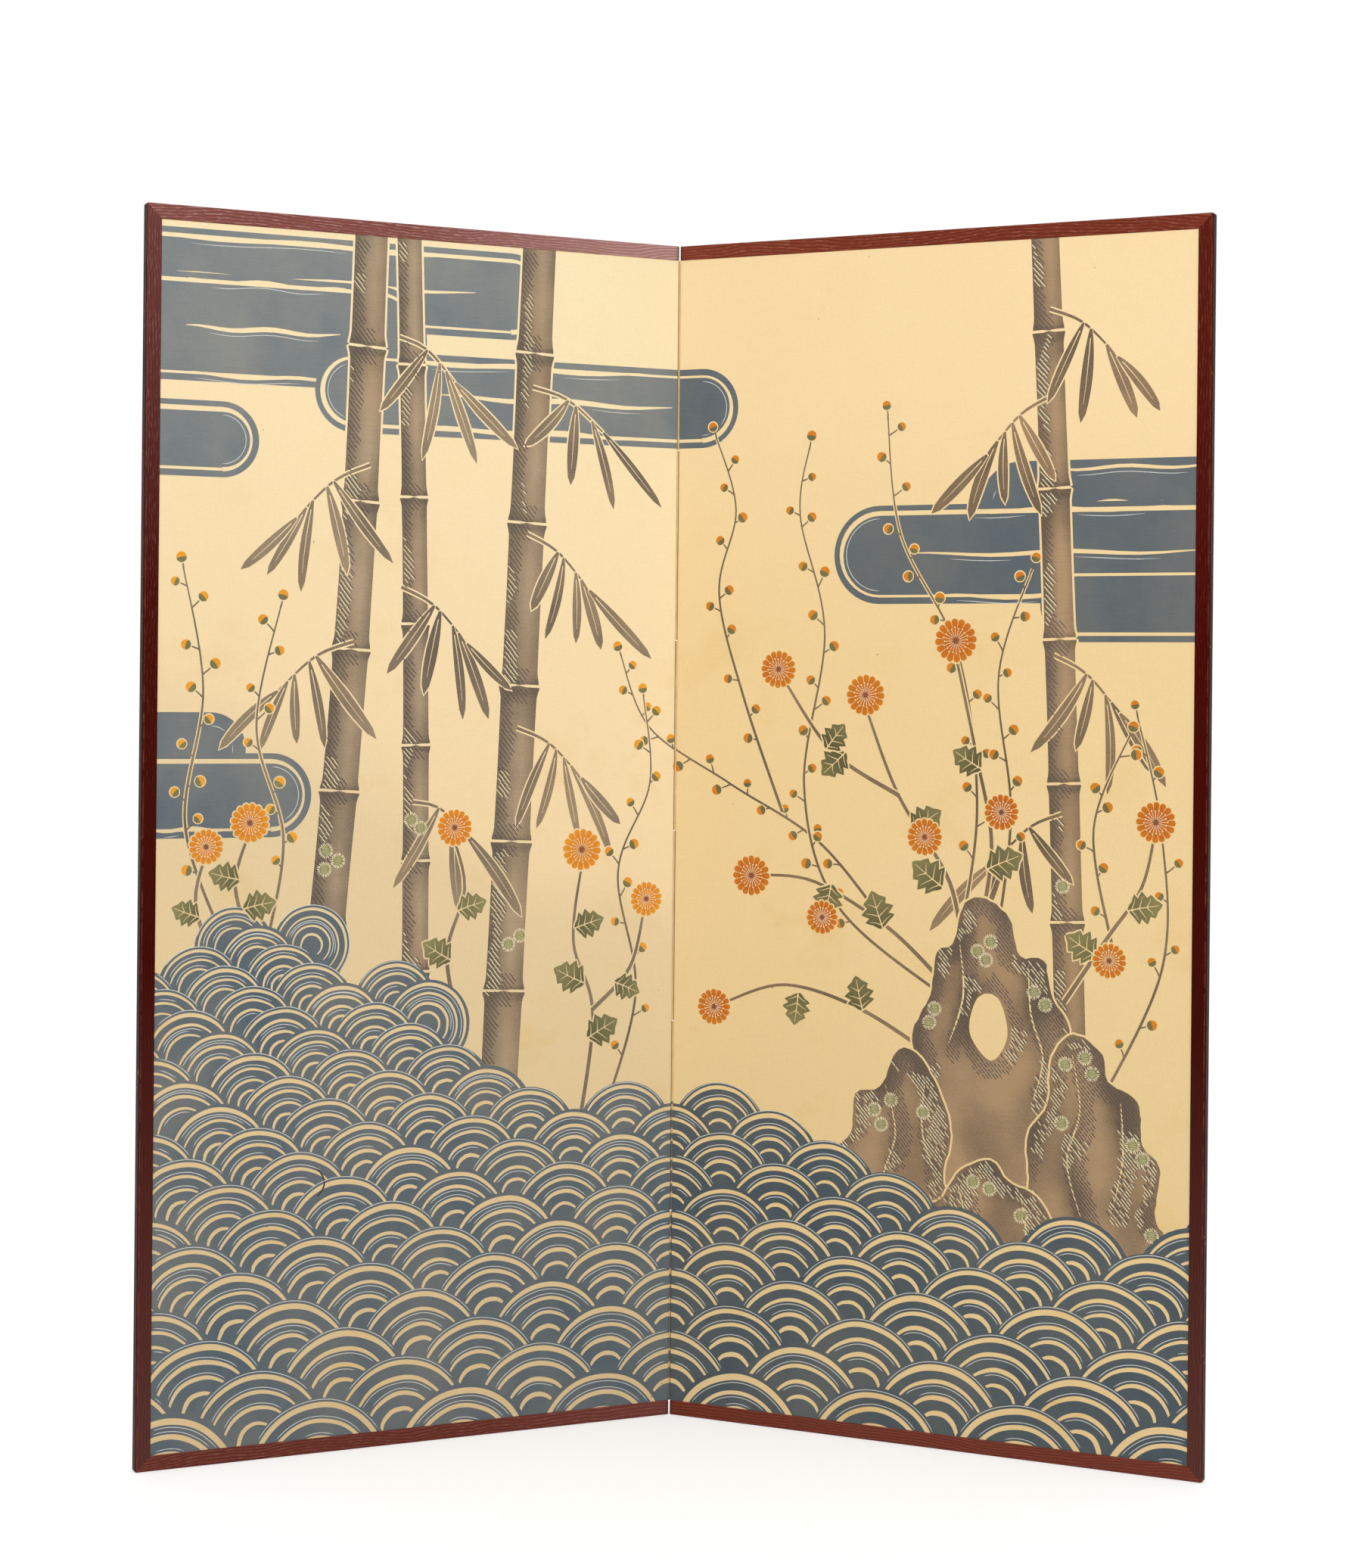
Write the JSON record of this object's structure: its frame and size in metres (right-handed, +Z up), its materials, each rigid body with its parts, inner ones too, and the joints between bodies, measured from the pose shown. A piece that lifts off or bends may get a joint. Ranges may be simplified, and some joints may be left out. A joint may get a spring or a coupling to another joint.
{
  "type": "folding screen",
  "caption": "Two-panel folding screen with lacquered wooden frames, papered lattice cores, silk faces and paper hinges that fold both ways.",
  "frame": {"origin": "centre of the screen's footprint on the floor, as it stands open", "axes": "+Z up; the painted fronts face -Y and the fold stands at the back, on x = 0; +X towards the right panel as seen from the front"},
  "size_m": [1.4564, 0.3632, 1.72],
  "materials": {
    "lacquered_wood": "red-brown lacquer wiped over open-grained wood, satin",
    "core_wood": "plain planed softwood",
    "nail_iron": "dark drawn iron",
    "underlay_paper": "unbleached mulberry paper, matt",
    "hinge_paper": "strong mulberry paper, toned to the silk",
    "silk": "fine plain-woven silk, cream, soft sheen",
    "back_paper": "heavy backing paper, matt"
  },
  "bodies": {
    "hinge_webs_a": {"hinge_webs_a": "hinge_paper"},
    "left_panel": {"left_back_base_paper": "underlay_paper", "left_back_float_paper": "underlay_paper", "left_back_hinge_flaps": "hinge_paper", "left_back_paper": "back_paper", "left_core_bottom_rail": "core_wood", "left_core_corner_boards": "core_wood", "left_core_crossbars": "core_wood", "left_core_hinge_stile": "core_wood", "left_core_outer_stile": "core_wood", "left_core_top_rail": "core_wood", "left_core_uprights": "core_wood", "left_fold_edge_paper": "hinge_paper", "left_frame_bottom_rail": "lacquered_wood", "left_frame_nails": "nail_iron", "left_frame_stile": "lacquered_wood", "left_frame_top_rail": "lacquered_wood", "left_front_base_paper": "underlay_paper", "left_front_float_paper": "underlay_paper", "left_front_hinge_flaps": "hinge_paper", "left_mitre_splines": "core_wood", "left_silk_face": "silk"},
    "right_panel": {"right_back_base_paper": "underlay_paper", "right_back_float_paper": "underlay_paper", "right_back_hinge_flaps": "hinge_paper", "right_back_paper": "back_paper", "right_core_bottom_rail": "core_wood", "right_core_corner_boards": "core_wood", "right_core_crossbars": "core_wood", "right_core_hinge_stile": "core_wood", "right_core_outer_stile": "core_wood", "right_core_top_rail": "core_wood", "right_core_uprights": "core_wood", "right_fold_edge_paper": "hinge_paper", "right_frame_bottom_rail": "lacquered_wood", "right_frame_nails": "nail_iron", "right_frame_stile": "lacquered_wood", "right_frame_top_rail": "lacquered_wood", "right_front_base_paper": "underlay_paper", "right_front_float_paper": "underlay_paper", "right_front_hinge_flaps": "hinge_paper", "right_mitre_splines": "core_wood", "right_silk_face": "silk"},
    "hinge_webs_b": {"hinge_webs_b": "hinge_paper"}
  },
  "joints": [
    {"name": "front_fold", "type": "hinge", "parent": "hinge_webs_a", "child": "left_panel", "pos_m": [0, 0.16525, 0], "axis": [0, 0, 1], "range_deg": [-51.5, 128.5]},
    {"name": "back_fold", "type": "hinge", "parent": "hinge_webs_a", "child": "right_panel", "pos_m": [0.00773, 0.18128, 0], "axis": [0, 0, -1], "range_deg": [-180, 0]},
    {"name": "web_b_fold", "type": "hinge", "parent": "left_panel", "child": "hinge_webs_b", "pos_m": [-0.00773, 0.18128, 0], "axis": [0, 0, -1], "range_deg": [-180, 0], "deforming": ["hinge_webs_b"]}
  ],
  "couplings": [
    {"joint": "web_b_fold", "follows": "back_fold", "ratio": 1}
  ]
}
